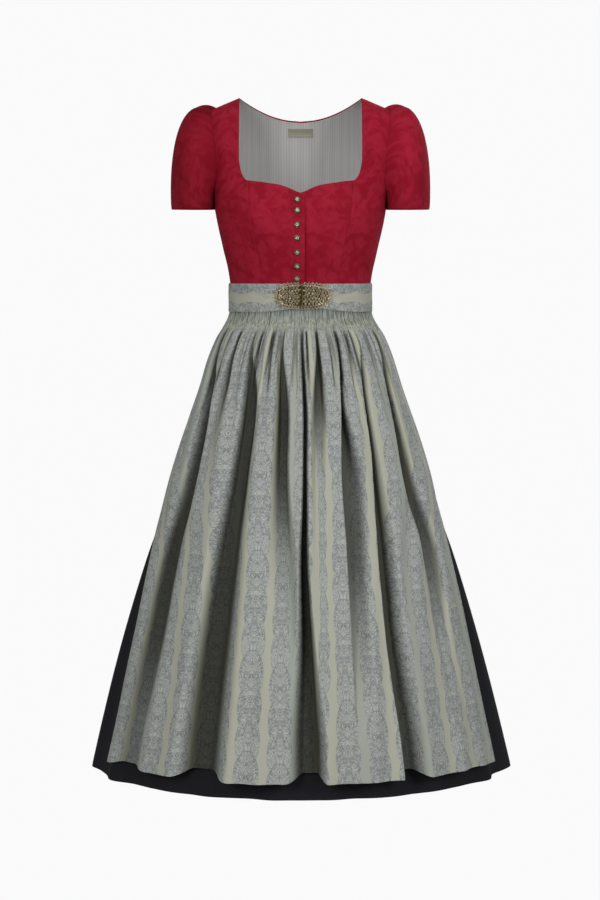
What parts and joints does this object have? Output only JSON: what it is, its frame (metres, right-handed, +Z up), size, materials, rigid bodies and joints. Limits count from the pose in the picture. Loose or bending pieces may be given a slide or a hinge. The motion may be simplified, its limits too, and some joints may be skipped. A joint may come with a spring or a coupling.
{
  "type": "dirndl dress with apron",
  "caption": "Worn-form dirndl: buttoned red bodice with short raised sleeves, dark gathered skirt and a clasped grey-green jacquard apron",
  "frame": {"origin": "midway between the tops of the shoulder straps, where the wearer's shoulders hold the dress", "axes": "+Z up, -Y the front with the buttons, +X the wearer's left"},
  "size_m": [0.761, 0.6296, 1.2132],
  "materials": {
    "bodice_jacquard": "matte woven red cotton with a tone-on-tone flower pattern",
    "lining_cotton": "matte grey cotton with fine stripes",
    "skirt_cloth": "matte dark navy cloth",
    "apron_jacquard": "woven grey-green jacquard with a slight satin sheen",
    "antique_metal": "antique gold with dark recesses",
    "label_satin": "khaki satin, bare"
  },
  "bodies": {
    "root": {"front_side_left": "bodice_jacquard", "front_side_right": "bodice_jacquard", "front_centre_left": "bodice_jacquard", "front_centre_right": "bodice_jacquard", "bodice_back": "bodice_jacquard", "sleeve_left": "bodice_jacquard", "sleeve_right": "bodice_jacquard", "back_lining": "lining_cotton", "neck_label": "label_satin", "skirt_front": "skirt_cloth", "skirt_back": "skirt_cloth", "apron_band": "apron_jacquard", "apron_panel": "apron_jacquard", "clasp_left": "antique_metal", "clasp_right": "antique_metal", "button_1": "antique_metal", "button_2": "antique_metal", "button_3": "antique_metal", "button_4": "antique_metal", "button_5": "antique_metal", "button_6": "antique_metal", "button_7": "antique_metal"}
  },
  "joints": []
}
